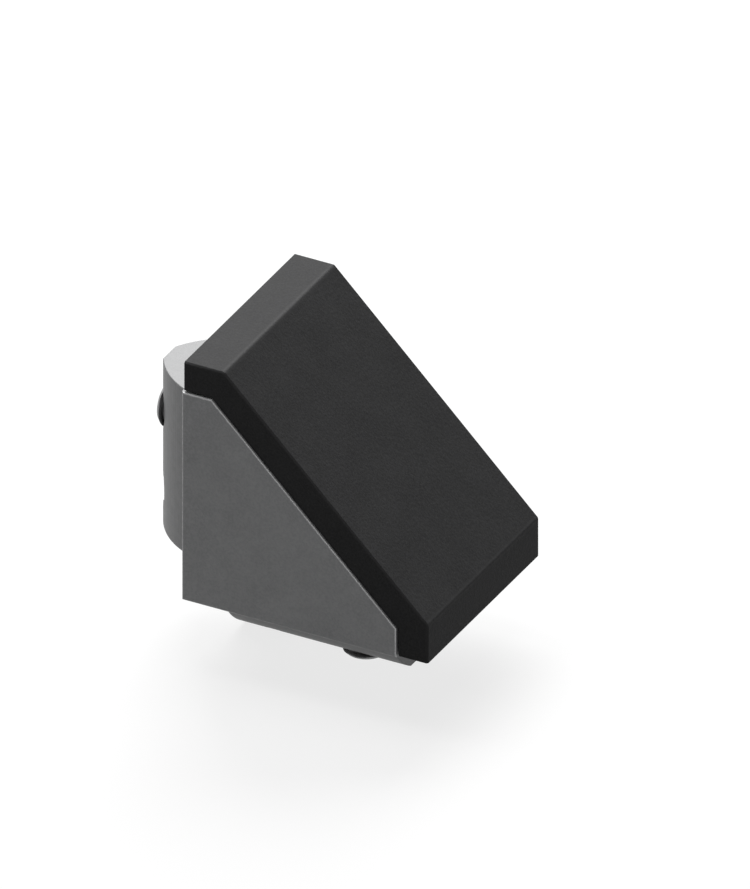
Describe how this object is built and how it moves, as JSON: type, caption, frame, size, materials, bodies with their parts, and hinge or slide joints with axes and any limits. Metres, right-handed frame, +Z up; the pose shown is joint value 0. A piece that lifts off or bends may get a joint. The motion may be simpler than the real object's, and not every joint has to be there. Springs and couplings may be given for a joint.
{
  "type": "extrusion bracket",
  "caption": "Corner bracket for slotted framing: cast body with side walls, pull-off moulded cover, socket screws, washers and slot nuts.",
  "frame": {"origin": "outer corner where the two seating planes meet, on the middle plane of the body", "axes": "+X along the base leg away from the corner, +Z up along the upright leg, +Y across the width; -Z and -X point out of the two seating faces"},
  "size_m": [0.0412, 0.028, 0.0412],
  "materials": {
    "cast_metal": "die-cast, fine grained, satin",
    "black_plastic": "moulded, finely textured, matt",
    "plated_steel": "zinc plated, bright, with dark oil in the screws' thread roots",
    "nut_steel": "zinc plated over drawn steel, satin"
  },
  "bodies": {
    "bracket": {"bracket_body": "cast_metal", "upright_screw": "plated_steel", "upright_washer": "plated_steel", "upright_nut": "nut_steel", "base_screw": "plated_steel", "base_washer": "plated_steel", "base_nut": "nut_steel"},
    "cover": {"cover_cap": "black_plastic"}
  },
  "joints": [
    {"name": "cover_pull", "type": "slide", "parent": "bracket", "child": "cover", "axis": [0.7071, 0, 0.7071], "range_m": [0, 0.025]}
  ]
}
